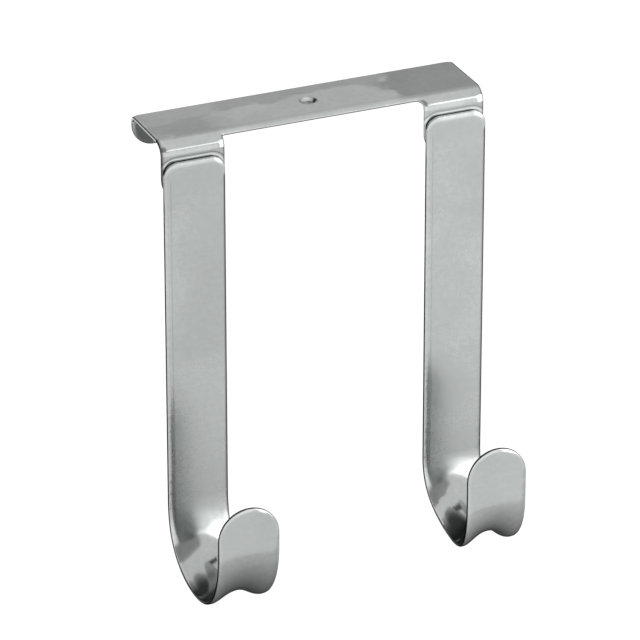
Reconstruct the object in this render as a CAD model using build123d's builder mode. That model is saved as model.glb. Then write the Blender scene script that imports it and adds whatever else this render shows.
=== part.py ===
from build123d import *
import math
import os

os.makedirs("parts", exist_ok=True)

# Over door hook of bent steel: a bridge that sits on the door's top edge, and two J hooks lapped on its tabs.
# Millimetres. The origin is the middle of the bridge's underside, +Z is up and the hooks face -Y.

# Bridge, one folded sheet
sheet_thickness = 1.5
door_gap = 20.0
bridge_length = 96.0
back_bend_radius = 1.0
front_bend_radius = 3.0
lip_drop = 8.3
lip_corner_radius = 6.5
tab_drop = 16.5
left_tab_width = 18.5
right_tab_width = 18.0
tab_corner_radius = 7.0
front_edge_turn = 37.0
left_notch_corner_radius = 0.6
right_notch_corner_radius = 2.0
dimple_diameter = 5.3
dimple_floor_diameter = 2.6
dimple_depth = 0.8
bridge_edge_chamfer = 0.4

# Hooks, two strips of one width: the left one bent wide and round, the right one narrower and more pointed
strip_thickness = 1.5
strip_width = 18.0
strip_top_drop = 4.3
strip_top_corner_radius = 4.0
left_reach = 36.5
left_leg_drop = 106.6
left_leg_pull = 27.4
left_plate_drop = 105.4
left_plate_pull = 27.6
left_tip_drop = 93.1
left_saddle_depth = 3.2
right_reach = 29.7
right_leg_drop = 109.1
right_leg_pull = 17.1
right_plate_drop = 110.8
right_plate_pull = 25.7
right_tip_drop = 94.2
right_saddle_depth = 4.6
saddle_flare = 1.5
saddle_floor_share = 0.45
saddle_shoulder_share = 0.7

# Places that follow from the sizes above
tab_front = -(door_gap / 2 + sheet_thickness)
strip_middle = bridge_length / 2 - strip_width / 2
leg_y = tab_front - strip_thickness / 2
notch_left = left_tab_width - bridge_length / 2
notch_right = bridge_length / 2 - right_tab_width
notch_reach = 2 * (tab_drop + sheet_thickness)
front_bend_y = front_bend_radius - door_gap / 2
front_bend_z = -front_bend_radius

# Bridge
with BuildPart() as bridge:
    # The fold: back lip, flat top and front tabs, drawn along the side that lies on the door
    with BuildSketch(Plane.YZ):
        with BuildLine():
            inside = FilletPolyline(
                (door_gap / 2, -lip_drop),
                (door_gap / 2, 0),
                (-door_gap / 2, 0),
                (-door_gap / 2, -tab_drop),
                radius=[back_bend_radius, front_bend_radius],
            )
            offset(inside, amount=sheet_thickness, side=Side.RIGHT)
        make_face()
    extrude(amount=bridge_length / 2, both=True)

    # The notch between the tabs, cut square to the sheet part way round the front bend
    edge_turn = math.radians(front_edge_turn)
    bend_line = (0, front_bend_y, front_bend_z)
    with BuildSketch(Plane(bend_line, x_dir=(1, 0, 0), z_dir=(0, -math.sin(edge_turn), math.cos(edge_turn)))):
        with Locations((notch_left, 0)):
            notch = Rectangle(notch_right - notch_left, notch_reach, align=(Align.MIN, Align.MAX))
        left_corner, right_corner = notch.vertices().group_by(Axis.Y)[-1].sort_by(Axis.X)
        fillet(left_corner, left_notch_corner_radius)
        fillet(right_corner, right_notch_corner_radius)
    extrude(amount=notch_reach, both=True, mode=Mode.SUBTRACT)

    # Rounded lower corners of the lip and of the tabs
    fillet(bridge.edges().filter_by(Axis.Y).group_by(Axis.Y)[-1], lip_corner_radius)
    fillet(bridge.edges().filter_by(Axis.Y).group_by(Axis.Y)[0], tab_corner_radius)

    # Softened rim: from the ends of the flat top it runs all the way round both skins
    end_faces = bridge.faces().filter_by(Axis.X).group_by(Axis.X)
    rim = (end_faces[0] + end_faces[-1]).edges().filter_by(Axis.Y)
    chamfer(rim, bridge_edge_chamfer)

    # The dimple pressed in the middle of the top
    with BuildSketch(Plane.XY.offset(sheet_thickness)):
        Circle(dimple_diameter / 2)
    with BuildSketch(Plane.XY.offset(sheet_thickness - dimple_depth)):
        Circle(dimple_floor_diameter / 2)
    loft(mode=Mode.SUBTRACT)

bridge.part.label = "bridge"
export_step(bridge.part, "parts/bridge.step")

# Hooks: name, middle of the width, reach, drop and pull of leg and plate, drop of tip, depth of saddle
hooks = (
    (
        "left_hook", -strip_middle, left_reach, left_leg_drop, left_leg_pull,
        left_plate_drop, left_plate_pull, left_tip_drop, left_saddle_depth,
    ),
    (
        "right_hook", strip_middle, right_reach, right_leg_drop, right_leg_pull,
        right_plate_drop, right_plate_pull, right_tip_drop, right_saddle_depth,
    ),
)
bend_steps = 20
for name, middle_x, reach, leg_drop, leg_pull, plate_drop, plate_pull, tip_drop, saddle_depth in hooks:
    plate_y = leg_y - reach
    plate_straight = plate_drop - tip_drop - strip_width / 2

    # The line that the bend follows, drawn in depth and height: down out of the leg and up into the plate
    with BuildLine() as bend:
        Bezier(
            (leg_y, -leg_drop),
            (leg_y, -leg_drop - leg_pull),
            (plate_y, -plate_drop - plate_pull),
            (plate_y, -plate_drop),
        )
    bend_path = bend.wire()

    with BuildPart() as hook:
        # The leg, lapped on the tab
        with BuildSketch(Plane.XZ.offset(-tab_front)):
            with Locations((middle_x, -strip_top_drop)):
                leg = Rectangle(strip_width, leg_drop - strip_top_drop, align=(Align.CENTER, Align.MAX))
            fillet(leg.vertices().group_by(Axis.Y)[-1], strip_top_corner_radius)
        extrude(amount=strip_thickness)

        # The front plate with its round tip
        with BuildSketch(Plane.XZ.offset(-plate_y - strip_thickness / 2)):
            with Locations((middle_x, -tip_drop - strip_width / 2)):
                Circle(strip_width / 2)
                Rectangle(strip_width, strip_width, align=(Align.CENTER, Align.MAX), mode=Mode.SUBTRACT)
                Rectangle(strip_width, plate_straight, align=(Align.CENTER, Align.MAX))
        extrude(amount=strip_thickness)

        # The bend, flat where it meets the leg and the plate and pressed to a saddle between them
        for step in range(bend_steps + 1):
            share = step / bend_steps
            place = bend_path @ share
            heading = bend_path % share
            swell = math.sin(math.pi * share) ** 2
            crown = saddle_depth * swell
            half_chord = strip_width / 2 - 5 / 4 * crown**2 / strip_width
            lean = crown / half_chord
            rim = saddle_flare * swell
            middle = (middle_x, place.X, place.Y)
            with BuildSketch(Plane(middle, x_dir=(1, 0, 0), z_dir=(0, -heading.X, -heading.Y))):
                with BuildLine():
                    for height in (-strip_thickness / 2, strip_thickness / 2):
                        skin = rim + height
                        floor = skin - crown
                        floor_x = saddle_floor_share * half_chord - lean * height
                        shoulder_x = saddle_shoulder_share * half_chord - lean * height
                        Bezier((0, floor), (floor_x, floor), (shoulder_x, skin), (half_chord, skin))
                    Line((half_chord, rim - strip_thickness / 2), (half_chord, rim + strip_thickness / 2))
                    mirror(about=Plane.YZ)
                make_face()
        loft()

    hook.part.label = name
    export_step(hook.part, f"parts/{name}.step")
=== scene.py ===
import bisect
import math

import bmesh
import bpy
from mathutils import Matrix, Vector


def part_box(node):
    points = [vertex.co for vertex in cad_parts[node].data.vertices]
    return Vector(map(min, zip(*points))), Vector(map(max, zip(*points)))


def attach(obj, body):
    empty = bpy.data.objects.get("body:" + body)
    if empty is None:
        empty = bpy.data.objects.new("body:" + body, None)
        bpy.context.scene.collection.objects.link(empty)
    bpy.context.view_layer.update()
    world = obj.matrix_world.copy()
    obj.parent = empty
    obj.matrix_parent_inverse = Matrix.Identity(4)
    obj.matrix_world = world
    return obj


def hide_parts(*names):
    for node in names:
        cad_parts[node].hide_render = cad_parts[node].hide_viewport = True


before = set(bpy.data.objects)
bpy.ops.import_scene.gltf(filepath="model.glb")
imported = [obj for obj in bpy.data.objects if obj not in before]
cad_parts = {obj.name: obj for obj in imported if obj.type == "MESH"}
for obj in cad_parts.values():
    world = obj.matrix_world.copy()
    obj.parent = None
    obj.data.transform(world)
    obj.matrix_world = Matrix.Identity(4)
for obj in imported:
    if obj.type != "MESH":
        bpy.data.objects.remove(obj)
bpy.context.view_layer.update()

# Over door hook of satin steel. Metres, in the frame of the solids: the origin is the middle of the bridge's
# underside, +Z is up and the hooks face -Y.

# Bridge, one folded sheet
bridge_low, bridge_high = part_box("bridge")
bridge_length = bridge_high.x - bridge_low.x
sheet_thickness = bridge_high.z
door_gap = bridge_high.y - bridge_low.y - 2 * sheet_thickness
tab_drop = -bridge_low.z
lip_drop = 0.0083
back_bend_radius = 0.001
front_bend_radius = 0.003
front_edge_turn = math.radians(37.0)
lip_corner_radius = 0.0065
left_tab_width = 0.0185
right_tab_width = 0.018
tab_corner_radius = 0.007
left_notch_corner_radius = 0.0006
right_notch_corner_radius = 0.002
dimple_radius = 0.00265
dimple_floor_radius = 0.0013
dimple_depth = 0.0008

# Hooks, two strips of one width: the left one bent wide and round, the right one narrower and more pointed
strip_width = 0.018
strip_thickness = 0.0015
strip_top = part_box("left_hook")[1].z
strip_top_corner_radius = 0.004
left_reach = 0.0365
left_leg_drop = 0.1066
left_leg_pull = 0.0274
left_plate_drop = 0.1054
left_plate_pull = 0.0276
left_tip_drop = 0.0931
left_saddle_depth = 0.0032
right_reach = 0.0297
right_leg_drop = 0.1091
right_leg_pull = 0.0171
right_plate_drop = 0.1108
right_plate_pull = 0.0257
right_tip_drop = 0.0942
right_saddle_depth = 0.0046
saddle_flare = 0.0015
saddle_floor_share = 0.45
saddle_shoulder_share = 0.7

# Softness of the cut edges: a round rim, and a slight roll-off of the skin beside it
rim_radius = 0.0004
rim_segments = 5
roll_width = 0.0021
roll_depth = 0.00024
roll_steps = 6
dimple_rim_radius = 0.0004
dimple_rim_segments = 3

# How finely the rounds are divided
corner_segments = 12
front_bend_steps = 18
back_bend_steps = 10
dimple_patch = 0.004
dimple_side_cuts = 7
curve_steps = 400
profile_halvings = 30
j_bend_steps = 72
half_strip_columns = 12
cut_columns = 9
merge_distance = 1e-6
shortest_edge = 2e-5
nudge = 1e-5

# Marks that the points carry for the steel, how far in from the rim two of them spread, and the level through
# the sheet, from -0.5 to 0.5, past which a point belongs to a skin
mark_names = ("rim", "painted_rim_shade", "painted_lap_shade", "pressed", "painted_hollow_shade", "painted_edge_band")
skin_level = 0.25
flat_map_scale = 10
far_rim_spread = 1.6
lap_line_spread = 2

# Marks of the bridge: how far it is pressed, the painted shade in the dimple and inside the lip, and the
# painted dark outline of its cut edges
tab_press = 1.5
top_press = 0.5
dimple_painted_shade = 0.2
dimple_side_painted_shade = 0.7
lip_painted_shade = 0.5
outline_reach = 4 * rim_radius
outline_width = 3 * rim_radius
outline_strength = 0.8
lower_rim_strength = 0.25
lower_rim_start = 0.04
lower_rim_full = -0.16
tab_outline_reach = 1.5 * tab_corner_radius
tab_outline_length = 0.25 * tab_corner_radius

# Marks of the hooks: the lap on the tab, with the levels of its line of painted shade, and the hollow of
# painted shade inside the bend as shares of the bend's length
lap_fade = 0.006
lap_line_start = 0.24
lap_line_full = 0.34
trough_middle = 0.63
trough_reach = 0.18
trough_width = 0.06

# Marks of the hooks: the painted highlight band along the left edge and the painted shade on the right edge
# as shares of half the width, and how far the painted dark line of the far rim comes over the edge
edge_band_share = 0.8
edge_line_share = 0.02
right_side_start = 0.5
right_side_full = 0.75
lapped_side_start = 0.7
lapped_side_full = 0.9
far_rim_steepness = 5
far_rim_cover = 1.8
far_rim_lap_loss = 3
far_rim_side_gain = 1.8
far_rim_right_gain = 2.6
far_rim_bend_loss = 0.35

# Satin steel: its tone at the left and at the right, darker at the left as painted shade, and what that is
# multiplied by in places: worn edges, and mostly painted highlights, reflections and shade
left_tone = 0.418
right_tone = 0.458
steel_tint = (0.976, 1.018, 1.006)
painted_sheen_tone = 1.3
painted_blotch_sheen_tone = 1.15
painted_end_shade_tone = 0.74
painted_bend_sheen_tone = 1.16
painted_band_line_tone = 0.76
painted_band_tone = 1.05
painted_mirror_band_tone = 1.55
left_painted_mirror_line_tone = 0.55
right_painted_mirror_line_tone = 0.72
worn_tone = 1.1
painted_rim_shade_tone = 0.1
painted_hollow_shade_tone = 0.3
painted_lap_shade_tone = 0.25

# Satin steel: the range that most of its noise fills, its roughness, what is taken off that or added in
# places, and the depth of its relief
noise_low = 0.3
noise_high = 0.7
strip_roughness = 0.265
pressed_roughness = 0.15
tab_polish = 0.06
worn_polish = 0.03
lap_dullness = 0.4
wave_depth = 0.00002
grain_depth = 0.0000006
nick_depth = 0.00003

# Camera, at the photograph's angle
view_azimuth = math.radians(-23.6)
view_elevation = math.radians(25.91)
view_distance = 1.3866
aim = Vector((-0.00236, -0.01345, -0.05902))
sensor_width = 36.0
focal_length = 281.25

# Studio: a pale room, a white floor, a strip lamp, and cards that only show as reflections in the steel
room_front_light = 1.05
room_back_light = 0.61
room_fade_end = 1.05
floor_level = -0.3
floor_reach = 8
floor_glow = 0.2
lamp_place = Vector((0.4, -0.95, 0.5))
lamp_width = 0.9
lamp_height = 0.1
lamp_watts = 0.45
hook_level = -0.11
lying_card_level = -0.2
lying_card_reach = 5

# Cards that lie below the hooks: front and back edge, where the tone starts and ends, first and last tone
lying_cards = (
    ("under_card", (-0.17, 0.07), (-0.17, 0.035), (0.85, 0.06)),
    ("back_card", (0.07, 0.6), (0.07, 0.13), (0.12, 1.0)),
    ("far_card", (0.6, 6), (0.6, 0.8), (1.0, 0.1)),
)

# Cards that stand round the hooks: bearings from the front and heights in degrees, distance, where the tone
# starts and ends, first and last tone
standing_cards = (
    ("soft_panel", (28.5, 64), (-7, 33), 1.5, (-0.3, 0.7), (3.3, 3.6)),
    ("front_panel", (-32, 24), (-7, 34), 1.45, (0.3, 0.7), (1.5, 1.1)),
    ("dark_side", (-172, -84), (-10, 60), 1.0, (0.75, 1.75), (0.06, 0.62)),
    ("camera_side", (-42, 13), (27, 60), 1.0, (0.4, 1.7), (0.4, 0.5)),
)

# Places that follow from the sizes above
tab_front = -(door_gap / 2 + sheet_thickness)
strip_middle = bridge_length / 2 - strip_width / 2
leg_y = tab_front - strip_thickness / 2


def clamp(value):
    return min(max(value, 0), 1)


def ramp(value, start, end):
    """Goes straight from 0 to 1 while the value goes from start to end."""
    return clamp((value - start) / (end - start))


def even_steps(start, end, count):
    return [start + (end - start) * step / count for step in range(count + 1)]


def flat_blank(corners, thickness):
    """A flat sheet cut to an outline of (x, s, corner radius), with softened edges, lying about height 0."""
    bm = bmesh.new()
    rim_height = thickness - 2 * roll_depth
    points = [bm.verts.new((x, s, -rim_height / 2)) for x, s, radius in corners]
    bm.faces.new(points)
    for point, (x, s, radius) in zip(points, corners):
        bmesh.ops.bevel(
            bm, geom=[point], offset=radius, offset_type="OFFSET", affect="VERTICES",
            segments=corner_segments, profile=0.5, material=-1,
        )
    bmesh.ops.remove_doubles(bm, verts=bm.verts[:], dist=merge_distance)
    raised = bmesh.ops.extrude_face_region(bm, geom=bm.faces[:])["geom"]
    top_points = [item for item in raised if isinstance(item, bmesh.types.BMVert)]
    bmesh.ops.translate(bm, verts=top_points, vec=(0, 0, rim_height))
    bmesh.ops.recalc_face_normals(bm, faces=bm.faces[:])
    skins = [face for face in bm.faces if abs(face.normal.z) > 0.5]
    rims = [edge for face in skins for edge in face.edges]
    bmesh.ops.bevel(
        bm, geom=rims, offset=rim_radius, offset_type="OFFSET", affect="EDGES",
        segments=rim_segments, profile=0.5, material=-1,
    )
    for skin in sorted(bm.faces, key=lambda face: face.calc_area())[-2:]:
        height = 0
        for step in range(1, roll_steps + 1):
            rise = roll_depth * (1 - (1 - step / roll_steps) ** 3) - height
            height += rise
            bmesh.ops.inset_region(
                bm, faces=[skin], thickness=roll_width / roll_steps, depth=rise, use_even_offset=True
            )
    return bm


def cut_across(bm, stations):
    """Lines across the blank, at these places along its length."""
    for s in stations:
        geom = bm.verts[:] + bm.edges[:] + bm.faces[:]
        bmesh.ops.bisect_plane(bm, geom=geom, dist=merge_distance, plane_co=(0, s, 0), plane_no=(0, 1, 0))


def cut_along(bm, places, start, end):
    """Lines along the blank between two stations, at these places across its width."""
    for x in places:
        faces = [face for face in bm.faces if start < face.calc_center_median().y < end]
        edges = dict.fromkeys(edge for face in faces for edge in face.edges)
        verts = dict.fromkeys(vert for face in faces for vert in face.verts)
        geom = [*verts, *edges, *faces]
        bmesh.ops.bisect_plane(bm, geom=geom, dist=merge_distance, plane_co=(x, 0, 0), plane_no=(1, 0, 0))


def form(bm, surface, thickness, marks):
    """Bends the blank: each point goes to the formed middle surface, and off it by its height in the sheet.

    Each point also gets marks for the steel: the rim of the cut edges, the side of the rim with a painted
    dark line, the line of painted shade where the sheet is lapped on another one, how far it is pressed,
    the painted shade in the hollow inside a bend and in other hollows, and the band of painted highlight
    that runs along an edge.
    """
    flat_map = bm.loops.layers.uv.new("flat_map")
    layers = [bm.verts.layers.float.new(name) for name in mark_names]
    for face in bm.faces:
        for loop in face.loops:
            loop[flat_map].uv = loop.vert.co.xy * flat_map_scale
    for vert in bm.verts:
        x, s, height = vert.co
        rim = clamp((thickness / 2 - abs(height)) / (2 * roll_depth))
        painted_rim_shade, painted_lap_shade, pressed, painted_hollow_shade, painted_edge_band = marks(x, s, height / thickness)
        painted_rim_shade *= clamp(far_rim_spread * rim)
        painted_lap_shade *= clamp(lap_line_spread * rim)
        for layer, value in zip(layers, (rim, painted_rim_shade, painted_lap_shade, pressed, painted_hollow_shade, painted_edge_band)):
            vert[layer] = value
        across = surface(x + nudge, s) - surface(x - nudge, s)
        along = surface(x, s + nudge) - surface(x, s - nudge)
        vert.co = surface(x, s) + across.cross(along).normalized() * height


def finished_piece(bm, name, node):
    """The formed sheet as an object that stands for its solid."""
    for face in bm.faces:
        face.smooth = True
    mesh = bpy.data.meshes.new(name)
    bm.to_mesh(mesh)
    bm.free()
    piece = bpy.data.objects.new(name, mesh)
    bpy.context.scene.collection.objects.link(piece)
    piece.modifiers.new("even_shading", "WEIGHTED_NORMAL")
    mesh.materials.append(satin_steel)
    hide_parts(node)
    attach(piece, "root")


def press_dimple(bm, middle_s):
    """The round dimple pressed in the upper skin, in the middle of the top."""
    cut_across(bm, (middle_s - dimple_patch, middle_s + dimple_patch))
    cut_along(bm, (-dimple_patch, dimple_patch), middle_s - dimple_patch, middle_s + dimple_patch)
    middle = Vector((0, middle_s, sheet_thickness / 2))
    top = min(bm.faces, key=lambda face: (face.calc_center_median() - middle).length)
    border = top.edges[:]
    bmesh.ops.delete(bm, geom=[top], context="FACES_ONLY")
    split = bmesh.ops.subdivide_edges(bm, edges=border, cuts=dimple_side_cuts)["geom_split"]
    square = [edge for edge in split if isinstance(edge, bmesh.types.BMEdge)]
    top = bmesh.ops.edgeloop_fill(bm, edges=square)["faces"][0]
    rings = []
    for radius, drop in ((dimple_radius, 0), (dimple_floor_radius, dimple_depth)):
        # A narrow inset first, whose points then move out to their circle
        bmesh.ops.inset_region(bm, faces=[top], thickness=dimple_floor_radius / 10, use_even_offset=True)
        for vert in top.verts:
            spoke = Vector((vert.co.x, vert.co.y - middle_s, 0)).normalized()
            vert.co = middle + spoke * radius - Vector((0, 0, drop))
        rings += top.edges[:]
    bmesh.ops.bevel(
        bm, geom=rings, offset=dimple_rim_radius, offset_type="OFFSET", affect="EDGES",
        segments=dimple_rim_segments, profile=0.5, material=-1,
    )
    bmesh.ops.recalc_face_normals(bm, faces=bm.faces[:])


def edge_outline(distance_in):
    """1 on a cut edge, and 0 a little way in from it."""
    return ramp(distance_in, outline_reach, outline_width)


def make_bridge():
    """The bridge: cut flat, dimpled, then folded over at the front and the back."""
    front_turn_radius = front_bend_radius + sheet_thickness / 2
    back_turn_radius = back_bend_radius + sheet_thickness / 2
    quarter = math.pi / 2
    front_start = tab_drop - front_bend_radius
    front_end = front_start + quarter * front_turn_radius
    top_length = door_gap - front_bend_radius - back_bend_radius
    back_start = front_end + top_length
    back_end = back_start + quarter * back_turn_radius
    lip_end = back_end + lip_drop - back_bend_radius
    notch_end = front_end - front_edge_turn * front_turn_radius
    dimple_s = (front_end + back_start) / 2 + (back_bend_radius - front_bend_radius) / 2
    half = bridge_length / 2
    notch_left = left_tab_width - half
    notch_right = half - right_tab_width

    def fold(x, s):
        if s < front_start:
            return Vector((x, -door_gap / 2 - sheet_thickness / 2, s - tab_drop))
        if s < front_end:
            turn = (s - front_start) / front_turn_radius
            y = front_bend_radius - door_gap / 2 - front_turn_radius * math.cos(turn)
            return Vector((x, y, front_turn_radius * math.sin(turn) - front_bend_radius))
        if s < back_start:
            return Vector((x, front_bend_radius - door_gap / 2 + s - front_end, sheet_thickness / 2))
        if s < back_end:
            turn = (s - back_start) / back_turn_radius
            y = door_gap / 2 - back_bend_radius + back_turn_radius * math.sin(turn)
            return Vector((x, y, back_turn_radius * math.cos(turn) - back_bend_radius))
        return Vector((x, door_gap / 2 + sheet_thickness / 2, back_end - back_bend_radius - s))

    def marks(x, s, level):
        # Painted shade in the dimple, darker towards its sides
        if math.hypot(x, s - dimple_s) < dimple_radius and level > -skin_level:
            return 0, 0, 1, dimple_painted_shade + dimple_side_painted_shade * (abs(x) / dimple_radius) ** 2, 0
        pressed = 1 - (1 - top_press) * ramp(s, front_end, front_end + front_bend_radius)
        if s < front_start + nudge:
            pressed = tab_press
        # A painted dark line along the cut edges, and a fainter one along the lower rim
        right_edge = notch_left if x < 0 and s < notch_end else half
        outline = edge_outline(right_edge - x)
        if s < front_end:
            outline = max(outline, edge_outline(half + x))
        if x > 0 and s < front_start:
            up_the_tab = ramp(s, tab_outline_reach, tab_outline_length)
            outline = max(outline, edge_outline(x - notch_right) * up_the_tab)
        lower_rim = ramp(level, lower_rim_start, lower_rim_full)
        # Painted shade on the inside of the lip
        inside_lip = lip_painted_shade if s > back_end - nudge and level < 0 else 0
        return max(lower_rim_strength * lower_rim, outline_strength * outline), 0, pressed, inside_lip, 0

    bm = flat_blank(
        (
            (-half, 0, tab_corner_radius),
            (notch_left, 0, tab_corner_radius),
            (notch_left, notch_end, left_notch_corner_radius),
            (notch_right, notch_end, right_notch_corner_radius),
            (notch_right, 0, tab_corner_radius),
            (half, 0, tab_corner_radius),
            (half, lip_end, lip_corner_radius),
            (-half, lip_end, lip_corner_radius),
        ),
        sheet_thickness,
    )
    cut_across(bm, even_steps(front_start, front_end, front_bend_steps))
    cut_across(bm, even_steps(back_start, back_end, back_bend_steps))
    press_dimple(bm, dimple_s)
    bmesh.ops.dissolve_degenerate(bm, dist=shortest_edge, edges=bm.edges[:])
    form(bm, fold, sheet_thickness, marks)
    finished_piece(bm, "folded_bridge", "bridge")


def on_curve(points, t):
    """A point of the cubic curve that these four points pull, and the heading there."""
    start, start_pull, end_pull, end = points
    rest = 1 - t
    place = start * rest**3 + start_pull * 3 * rest**2 * t + end_pull * 3 * rest * t**2 + end * t**3
    heading = (start_pull - start) * rest**2 + (end_pull - start_pull) * 2 * rest * t
    heading += (end - end_pull) * t**2
    return place, heading.normalized()


def saddle_profile(share):
    """Depth of the saddle across the strip: 1 in its middle, 0 at its edge."""
    low, high = 0, 1
    for halving in range(profile_halvings):
        t = (low + high) / 2
        rest = 1 - t
        reached = 3 * rest**2 * t * saddle_floor_share + 3 * rest * t**2 * saddle_shoulder_share + t**3
        if reached < share:
            low = t
        else:
            high = t
    return 1 - 3 * t**2 + 2 * t**3


def make_hook(
    name, node, middle_x, reach, leg_drop, leg_pull, plate_drop, plate_pull, tip_drop, saddle_depth
):
    """A hook: a strip cut flat with a round tip, then bent to a J whose bend is pressed to a saddle."""
    half = strip_width / 2
    plate_y = leg_y - reach
    bend_curve = (
        Vector((leg_y, -leg_drop)),
        Vector((leg_y, -leg_drop - leg_pull)),
        Vector((plate_y, -plate_drop - plate_pull)),
        Vector((plate_y, -plate_drop)),
    )
    reached = [0]
    for step in range(curve_steps):
        gone = on_curve(bend_curve, (step + 1) / curve_steps)[0] - on_curve(bend_curve, step / curve_steps)[0]
        reached.append(reached[-1] + gone.length)
    lap_end = strip_top + tab_drop
    bend_start = strip_top + leg_drop
    bend_end = bend_start + reached[-1]
    tip_end = bend_end + plate_drop - tip_drop

    def j_bend(x, s):
        along = min(max(s, bend_start), bend_end) - bend_start
        step = min(bisect.bisect_right(reached, along), curve_steps) - 1
        part_step = (along - reached[step]) / (reached[step + 1] - reached[step])
        place, heading = on_curve(bend_curve, (step + part_step) / curve_steps)
        place = place + heading * (s - bend_start - along)
        swell = math.sin(math.pi * along / reached[-1]) ** 2
        crown = saddle_depth * swell
        half_chord = half - 5 / 4 * crown**2 / strip_width
        lift = saddle_flare * swell - crown * saddle_profile(abs(x) / half)
        bent_x = middle_x + x * half_chord / half
        return Vector((bent_x, place.x - heading.y * lift, place.y + heading.x * lift))

    def marks(x, s, level):
        share = ramp(s, bend_start, bend_end)
        across = x / half
        inner_skin = ramp(level, 0, -skin_level)
        lapped = ramp(s, lap_end, lap_end - lap_fade)
        # A line of painted shade where the strip's top lies on the tab
        painted_lap_shade = ramp(level, lap_line_start, lap_line_full) * lapped

        # Fully pressed from a quarter of the bend on, right to the tip
        pressed = clamp(2 * math.sin(math.pi * min(share, 0.5)) ** 2)

        # The painted shade in the hollow of the bend fades out towards the right edge
        from_trough = abs(share - trough_middle)
        painted_hollow_shade = inner_skin * ramp(from_trough, trough_reach, trough_width) * ramp(across, 0.9, -0.1)

        # The painted dark line covers the rim except at its front, which is the inner skin of the leg and the
        # outer one of the plate. On the lap it draws back to the tab, and along the right edge it comes
        # forward
        below_corner = ramp(s, strip_top_corner_radius, strip_top_corner_radius + lap_fade / 3)
        on_side = below_corner * ramp(share, 1 / 3, 0)
        right_side = max(
            on_side * ramp(across, right_side_start, right_side_full),
            lapped * ramp(across, lapped_side_start, lapped_side_full),
        )
        backward = min(max(3 * math.cos(math.pi * share), -1), 1)
        painted_rim_shade = far_rim_steepness * level * backward + far_rim_cover + far_rim_right_gain * right_side
        painted_rim_shade = clamp(painted_rim_shade - (far_rim_lap_loss - far_rim_side_gain * on_side) * lapped)
        painted_rim_shade *= 1 - far_rim_bend_loss * math.sin(math.pi * share) ** 2

        # The painted highlight band is 1 along the left edge, with a painted dark line of -1 on its inner
        # side
        into_band = -across - edge_band_share
        painted_edge_band = min(abs(into_band) / edge_line_share - 1, 1 if into_band > 0 else 0)
        return painted_rim_shade, painted_lap_shade, pressed, painted_hollow_shade, painted_edge_band * on_side * inner_skin

    bm = flat_blank(
        (
            (-half, 0, strip_top_corner_radius),
            (half, 0, strip_top_corner_radius),
            (half, tip_end, half),
            (-half, tip_end, half),
        ),
        strip_thickness,
    )
    cut_across(bm, (lap_end - lap_fade, lap_end, (lap_end + bend_start) / 2))
    cut_across(bm, even_steps(bend_start, bend_end, j_bend_steps))
    columns = [column * half / half_strip_columns for column in range(-cut_columns, cut_columns + 1)]
    cut_along(bm, columns, bend_start, bend_end)
    form(bm, j_bend, strip_thickness, marks)
    finished_piece(bm, name, node)


def feed(tree, source, socket):
    """Sets a socket to a plain value, or links another node's output to it."""
    if isinstance(source, bpy.types.NodeSocket):
        tree.links.new(source, socket)
    else:
        socket.default_value = source


def calc(tree, operation, first, second=0):
    node = tree.nodes.new("ShaderNodeMath")
    node.operation = operation
    feed(tree, first, node.inputs[0])
    feed(tree, second, node.inputs[1])
    return node.outputs["Value"]


def between(tree, value, start, end, first, last):
    """Goes softly from the first to the last result while the value goes from start to end."""
    node = tree.nodes.new("ShaderNodeMapRange")
    node.interpolation_type = "SMOOTHSTEP"
    names = ("Value", "From Min", "From Max", "To Min", "To Max")
    for name, source in zip(names, (value, start, end, first, last)):
        feed(tree, source, node.inputs[name])
    return node.outputs["Result"]


def mask(tree, value, start, end):
    """Goes softly from 0 to 1 while the value goes from start to end."""
    return between(tree, value, start, end, 0, 1)


def overlap(tree, *masks):
    """Where all of these masks are."""
    result = masks[0]
    for other in masks[1:]:
        result = calc(tree, "MULTIPLY", result, other)
    return result


def shade(tree, tone, place, factor, start=0, end=1):
    """Multiplies the tone softly, up to this factor, while the mask of the place goes from start to end."""
    return calc(tree, "MULTIPLY", tone, between(tree, place, start, end, 1, factor))


def cloud(tree, place, scale, detail, distortion=0, stretch=(1, 1, 1)):
    """Soft noise at this place, stretched along its axes."""
    spread = tree.nodes.new("ShaderNodeMapping")
    spread.inputs["Scale"].default_value = stretch
    tree.links.new(place, spread.inputs["Vector"])
    node = tree.nodes.new("ShaderNodeTexNoise")
    node.inputs["Scale"].default_value = scale
    node.inputs["Detail"].default_value = detail
    node.inputs["Distortion"].default_value = distortion
    tree.links.new(spread.outputs["Vector"], node.inputs["Vector"])
    return node.outputs["Fac"]


def sway(tree, noise, middle, spread):
    """A value that the noise takes this far to both sides of its middle."""
    return between(tree, noise, noise_low, noise_high, middle - spread, middle + spread)


def relief(tree, height, depth, below=None):
    """A relief of this depth, laid over the one below it."""
    node = tree.nodes.new("ShaderNodeBump")
    node.inputs["Strength"].default_value = 1
    node.inputs["Distance"].default_value = depth
    feed(tree, height, node.inputs["Height"])
    if below is not None:
        tree.links.new(below, node.inputs["Normal"])
    return node.outputs["Normal"]


def mark(tree, name):
    """A mark that the piece carries on its points."""
    node = tree.nodes.new("ShaderNodeAttribute")
    node.attribute_name = name
    return node.outputs["Fac"]


def axes_of(tree, vector):
    node = tree.nodes.new("ShaderNodeSeparateXYZ")
    tree.links.new(vector, node.inputs["Vector"])
    return node.outputs["X"], node.outputs["Y"], node.outputs["Z"]


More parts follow.
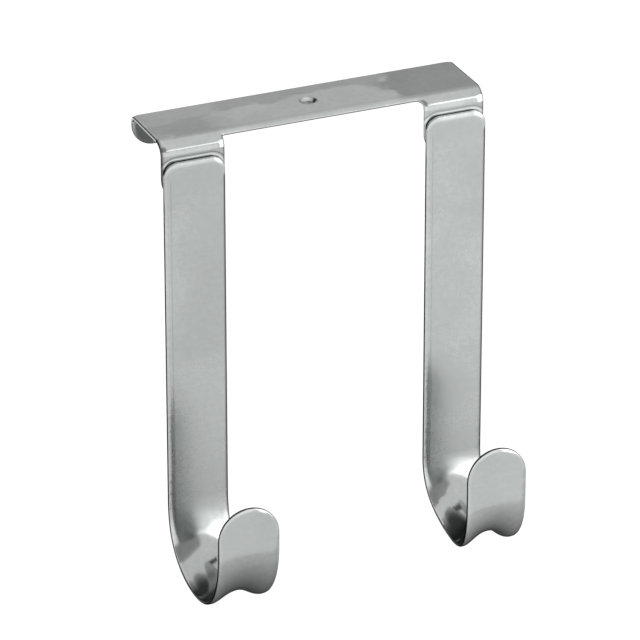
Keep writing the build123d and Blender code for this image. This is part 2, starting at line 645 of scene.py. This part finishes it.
def past_strip_end(tree, x, z):
    """How far a place on a tab lies outside the rounded top end of the strip in front of it."""
    corner_x = strip_width / 2 - strip_top_corner_radius
    corner_z = strip_top - strip_top_corner_radius
    sideways = calc(tree, "SUBTRACT", calc(tree, "ABSOLUTE", x), strip_middle)
    sideways = calc(tree, "SUBTRACT", calc(tree, "ABSOLUTE", sideways), corner_x)
    upward = calc(tree, "SUBTRACT", z, corner_z)
    squares = [calc(tree, "POWER", calc(tree, "MAXIMUM", part), 2) for part in (sideways, upward)]
    from_corner = calc(tree, "SQRT", calc(tree, "ADD", *squares))
    return calc(tree, "SUBTRACT", from_corner, strip_top_corner_radius)


def satin_steel_material():
    """Satin steel: cloudy polish, faint grain across the sheet and worn edges, with painted highlights,
    reflections and shade, among them dark lines round the edges.
    """
    material = bpy.data.materials.new("satin_steel")
    material.use_nodes = True
    tree = material.node_tree
    shader = tree.nodes["Principled BSDF"]
    shader.inputs["Metallic"].default_value = 1
    place = tree.nodes.new("ShaderNodeTexCoord").outputs["Object"]
    x, y, z = axes_of(tree, place)
    flat_map = tree.nodes.new("ShaderNodeUVMap")
    flat_map.uv_map = "flat_map"
    flat = flat_map.outputs["UV"]
    rim, painted_rim_shade, painted_lap_shade, pressed, painted_hollow_shade, painted_edge_band = [mark(tree, name) for name in mark_names]

    # Cloudy polish and grain
    polish = cloud(tree, place, scale=45, detail=2, distortion=0.8)
    mottle = cloud(tree, flat, scale=60, detail=1, distortion=0.4)
    grain = cloud(tree, flat, scale=1, detail=3, stretch=(5, 150, 1))
    # Darker at the left: painted shade
    tone = between(tree, x, -0.05, 0.05, left_tone, right_tone)
    for noise, spread in ((polish, 0.045), (mottle, 0.025), (grain, 0.012)):
        tone = calc(tree, "MULTIPLY", tone, sway(tree, noise, 1, spread))

    # On the bridge's top, painted sheen and shade: a lighter cloud in front, light blotches at the left and a
    # darker right end
    on_top = mask(tree, z, 0.0006, 0.0013)
    waver = between(tree, cloud(tree, place, scale=80, detail=2, distortion=0.3), 0.25, 0.75, -0.003, 0.003)
    wavy_x = calc(tree, "ADD", x, waver)
    wavy_y = calc(tree, "ADD", y, waver)
    cloud_depth = overlap(tree, mask(tree, wavy_y, 0.006, 0.0025), mask(tree, y, -0.0085, -0.0065))
    cloud_length = overlap(tree, mask(tree, wavy_x, -0.034, -0.022), mask(tree, wavy_x, 0.026, 0.0235))
    long_cloud = cloud(tree, place, scale=95, detail=1, distortion=0.5, stretch=(0.5, 1, 1))
    sheen_blotches = mask(tree, long_cloud, 0.52, 0.62)
    mostly_left = between(tree, x, -0.022, -0.03, 0.2, 1)
    tone = shade(tree, tone, overlap(tree, cloud_depth, cloud_length, on_top), painted_sheen_tone)
    tone = shade(tree, tone, overlap(tree, sheen_blotches, on_top, mostly_left), painted_blotch_sheen_tone)
    tone = shade(tree, tone, overlap(tree, mask(tree, wavy_x, 0.022, 0.027), on_top), painted_end_shade_tone)

    # A painted highlight: a lighter left end of the front bend
    in_bend = overlap(tree, mask(tree, z, -0.0015, -0.0005), mask(tree, z, 0.0014, 0.0009))
    tone = shade(tree, tone, overlap(tree, in_bend, mask(tree, x, -0.01, -0.03)), painted_bend_sheen_tone)

    # A painted highlight band along the left edge of each leg, with a painted dark line on its inner side
    painted_edge_band = calc(tree, "MULTIPLY", painted_edge_band, between(tree, mottle, 0.35, 0.65, 0.45, 1))
    tone = shade(tree, tone, painted_edge_band, painted_band_line_tone, end=-1)
    tone = shade(tree, tone, painted_edge_band, painted_band_tone)

    # A painted reflection of each strip's edge in the tab behind it: a light band round the strip's top end,
    # with a grey line on its outer side
    on_tab = mask(tree, y, -0.0105, -0.0112)
    past_strip = past_strip_end(tree, x, z)
    painted_mirror_band = overlap(tree, mask(tree, past_strip, 0.0002, 0.0005), mask(tree, past_strip, 0.0009, 0.0006))
    line = overlap(tree, mask(tree, past_strip, 0.0008, 0.0012), mask(tree, past_strip, 0.0016, 0.0012))
    painted_mirror_line_tone = between(tree, x, -0.03, 0.03, left_painted_mirror_line_tone, right_painted_mirror_line_tone)
    tone = shade(tree, tone, overlap(tree, painted_mirror_band, on_tab), painted_mirror_band_tone)
    tone = shade(tree, tone, overlap(tree, line, on_tab), painted_mirror_line_tone)

    # Worn bright edges, and painted shade: the dark line of the far rim, the trough and other hollows, and
    # the dark line in the laps
    worn = mask(tree, rim, 0.05, 0.5)
    tone = shade(tree, tone, worn, worn_tone)
    tone = shade(tree, tone, painted_rim_shade, painted_rim_shade_tone, start=0.2)
    tone = shade(tree, tone, painted_hollow_shade, painted_hollow_shade_tone)
    tone = shade(tree, tone, painted_lap_shade, painted_lap_shade_tone, start=0.1, end=0.7)
    tint = tree.nodes.new("ShaderNodeVectorMath")
    tint.operation = "SCALE"
    tint.inputs[0].default_value = steel_tint
    tree.links.new(tone, tint.inputs["Scale"])
    tree.links.new(tint.outputs["Vector"], shader.inputs["Base Color"])
    # The painted shade of the far rim also dims the steel's reflection there
    tree.links.new(between(tree, painted_rim_shade, 0.2, 1, 1, painted_rim_shade_tone), shader.inputs["Specular Tint"])

    # Roughness: smoother where the sheet is pressed or its edges are worn, dull in the laps
    roughness = between(tree, pressed, 0, 1, strip_roughness, pressed_roughness)
    roughness = calc(tree, "SUBTRACT", roughness, between(tree, pressed, 1, tab_press, 0, tab_polish))
    for noise, spread in ((polish, 0.02), (mottle, 0.01)):
        roughness = calc(tree, "ADD", roughness, sway(tree, noise, 0, spread))
    roughness = calc(tree, "SUBTRACT", roughness, between(tree, worn, 0, 1, 0, worn_polish))
    roughness = calc(tree, "ADD", roughness, between(tree, painted_lap_shade, 0.1, 0.7, 0, lap_dullness))
    tree.links.new(roughness, shader.inputs["Roughness"])

    # Relief: slightly wavy sheet, grain, and small nicks along the rim
    waves = relief(tree, cloud(tree, place, scale=110, detail=1), wave_depth)
    grained = relief(tree, grain, grain_depth, below=waves)
    specks = mask(tree, cloud(tree, flat, scale=1, detail=2, stretch=(30, 30, 1)), 0.5, 0.72)
    nicked = relief(tree, overlap(tree, specks, worn), nick_depth, below=grained)
    tree.links.new(nicked, shader.inputs["Normal"])
    return material


def pale_room():
    """The world: white in front, a little greyer behind."""
    world = bpy.data.worlds.new("pale_room")
    world.use_nodes = True
    tree = world.node_tree
    backward = axes_of(tree, tree.nodes.new("ShaderNodeTexCoord").outputs["Generated"])[1]
    light = between(tree, backward, 0, room_fade_end, room_front_light, room_back_light)
    tree.nodes["Background"].inputs["Color"].default_value = (1, 1, 1, 1)
    tree.links.new(light, tree.nodes["Background"].inputs["Strength"])
    bpy.context.scene.world = world


def rectangle(name, corners, material):
    """A rectangle of the stage, between four corners given row by row."""
    bm = bmesh.new()
    bmesh.ops.create_grid(bm, x_segments=1, y_segments=1, size=0.5)
    for vert in bm.verts:
        vert.co = corners[(1 if vert.co.x > 0 else 0) + (2 if vert.co.y > 0 else 0)]
    mesh = bpy.data.meshes.new(name)
    bm.to_mesh(mesh)
    bm.free()
    mesh.materials.append(material)
    card = bpy.data.objects.new(name, mesh)
    bpy.context.scene.collection.objects.link(card)
    return card


def level_corners(x_reach, front, back, z):
    return [Vector((x, y, z)) for y in (front, back) for x in (-x_reach, x_reach)]


def standing_corners(bearings, heights, distance):
    """Corners of an upright card between two bearings from the front and two heights, round the hooks."""
    middle = math.radians(sum(bearings) / 2)
    half_width = distance * math.tan(math.radians(bearings[1] - bearings[0]) / 2)
    outward = Vector((math.sin(middle), -math.cos(middle), 0)) * distance
    sideways = Vector((math.cos(middle), math.sin(middle), 0)) * half_width
    levels = [Vector((0, 0, hook_level + distance * math.tan(math.radians(height)))) for height in heights]
    return [outward + sideways * side + level for level in levels for side in (-1, 1)]


def white_floor_material():
    """Matt white that reads as white to the camera and in the steel, and still takes a shadow."""
    material = bpy.data.materials.new("white_floor")
    material.use_nodes = True
    tree = material.node_tree
    shader = tree.nodes["Principled BSDF"]
    shader.inputs["Base Color"].default_value = (0.9, 0.9, 0.9, 1)
    shader.inputs["Roughness"].default_value = 1
    shader.inputs["Specular IOR Level"].default_value = 0
    shader.inputs["Emission Color"].default_value = (1, 1, 1, 1)
    ray = tree.nodes.new("ShaderNodeLightPath")
    seen = calc(tree, "ADD", ray.outputs["Is Camera Ray"], ray.outputs["Is Glossy Ray"])
    seen = calc(tree, "ADD", seen, ray.outputs["Is Transmission Ray"])
    glow = calc(tree, "MULTIPLY", calc(tree, "MINIMUM", seen, 1), floor_glow)
    tree.links.new(glow, shader.inputs["Emission Strength"])
    return material


def soft_tone_group():
    """What the cards share: a tone that goes softly from the first to the last along an axis of the card."""
    group = bpy.data.node_groups.new("soft_tone", "ShaderNodeTree")
    group.interface.new_socket("Axis", in_out="INPUT", socket_type="NodeSocketVector")
    for name in ("Start", "End", "First", "Last"):
        group.interface.new_socket(name, in_out="INPUT", socket_type="NodeSocketFloat")
    group.interface.new_socket("Tone", in_out="OUTPUT", socket_type="NodeSocketFloat")
    given = group.nodes.new("NodeGroupInput").outputs
    along = group.nodes.new("ShaderNodeVectorMath")
    along.operation = "DOT_PRODUCT"
    group.links.new(group.nodes.new("ShaderNodeTexCoord").outputs["Object"], along.inputs[0])
    group.links.new(given["Axis"], along.inputs[1])
    tone = between(group, along.outputs["Value"], given["Start"], given["End"], given["First"], given["Last"])
    group.links.new(tone, group.nodes.new("NodeGroupOutput").inputs["Tone"])
    return group


def add_card(name, corners, axis, ends, tones):
    """A glowing card that shows in the steel, and neither in the picture nor as a shadow."""
    material = bpy.data.materials.new(name)
    material.use_nodes = True
    tree = material.node_tree
    tree.nodes.remove(tree.nodes["Principled BSDF"])
    shaded = tree.nodes.new("ShaderNodeGroup")
    shaded.node_tree = soft_tone
    for socket, value in zip(("Axis", "Start", "End", "First", "Last"), (axis, *ends, *tones)):
        shaded.inputs[socket].default_value = value
    glow = tree.nodes.new("ShaderNodeEmission")
    tree.links.new(shaded.outputs["Tone"], glow.inputs["Color"])
    tree.links.new(glow.outputs["Emission"], tree.nodes["Material Output"].inputs["Surface"])
    card = rectangle(name, corners, material)
    card.visible_camera = False
    card.visible_diffuse = False
    card.visible_shadow = False
    card.visible_transmission = False


def strip_lamp(name, place, width, height, watts):
    """A long soft lamp that faces the object."""
    light = bpy.data.lights.new(name, "AREA")
    light.shape = "RECTANGLE"
    light.size = width
    light.size_y = height
    light.energy = watts
    lamp = bpy.data.objects.new(name, light)
    lamp.location = place
    lamp.rotation_euler = place.to_track_quat("Z", "Y").to_euler()
    lamp.visible_camera = False
    bpy.context.scene.collection.objects.link(lamp)


# The pieces
satin_steel = satin_steel_material()
make_bridge()
make_hook(
    "left_j_hook", "left_hook", -strip_middle, left_reach, left_leg_drop, left_leg_pull,
    left_plate_drop, left_plate_pull, left_tip_drop, left_saddle_depth,
)
make_hook(
    "right_j_hook", "right_hook", strip_middle, right_reach, right_leg_drop, right_leg_pull,
    right_plate_drop, right_plate_pull, right_tip_drop, right_saddle_depth,
)

# The camera
toward_camera = Vector((
    math.sin(view_azimuth) * math.cos(view_elevation),
    -math.cos(view_azimuth) * math.cos(view_elevation),
    math.sin(view_elevation),
))
camera = bpy.data.objects.new("camera", bpy.data.cameras.new("camera"))
camera.data.sensor_width = sensor_width
camera.data.lens = focal_length
camera.location = aim + toward_camera * view_distance
camera.rotation_euler = toward_camera.to_track_quat("Z", "Y").to_euler()
bpy.context.scene.collection.objects.link(camera)
bpy.context.scene.camera = camera
bpy.context.scene.view_settings.view_transform = "Standard"

# The studio
pale_room()
rectangle("floor", level_corners(floor_reach, -floor_reach, floor_reach, floor_level), white_floor_material())
soft_tone = soft_tone_group()
for name, (front, back), ends, tones in lying_cards:
    add_card(name, level_corners(lying_card_reach, front, back, lying_card_level), (0, 1, 0), ends, tones)
for name, bearings, heights, distance, ends, tones in standing_cards:
    add_card(name, standing_corners(bearings, heights, distance), (0, 0, 1), ends, tones)
strip_lamp("front_strip", lamp_place, lamp_width, lamp_height, lamp_watts)
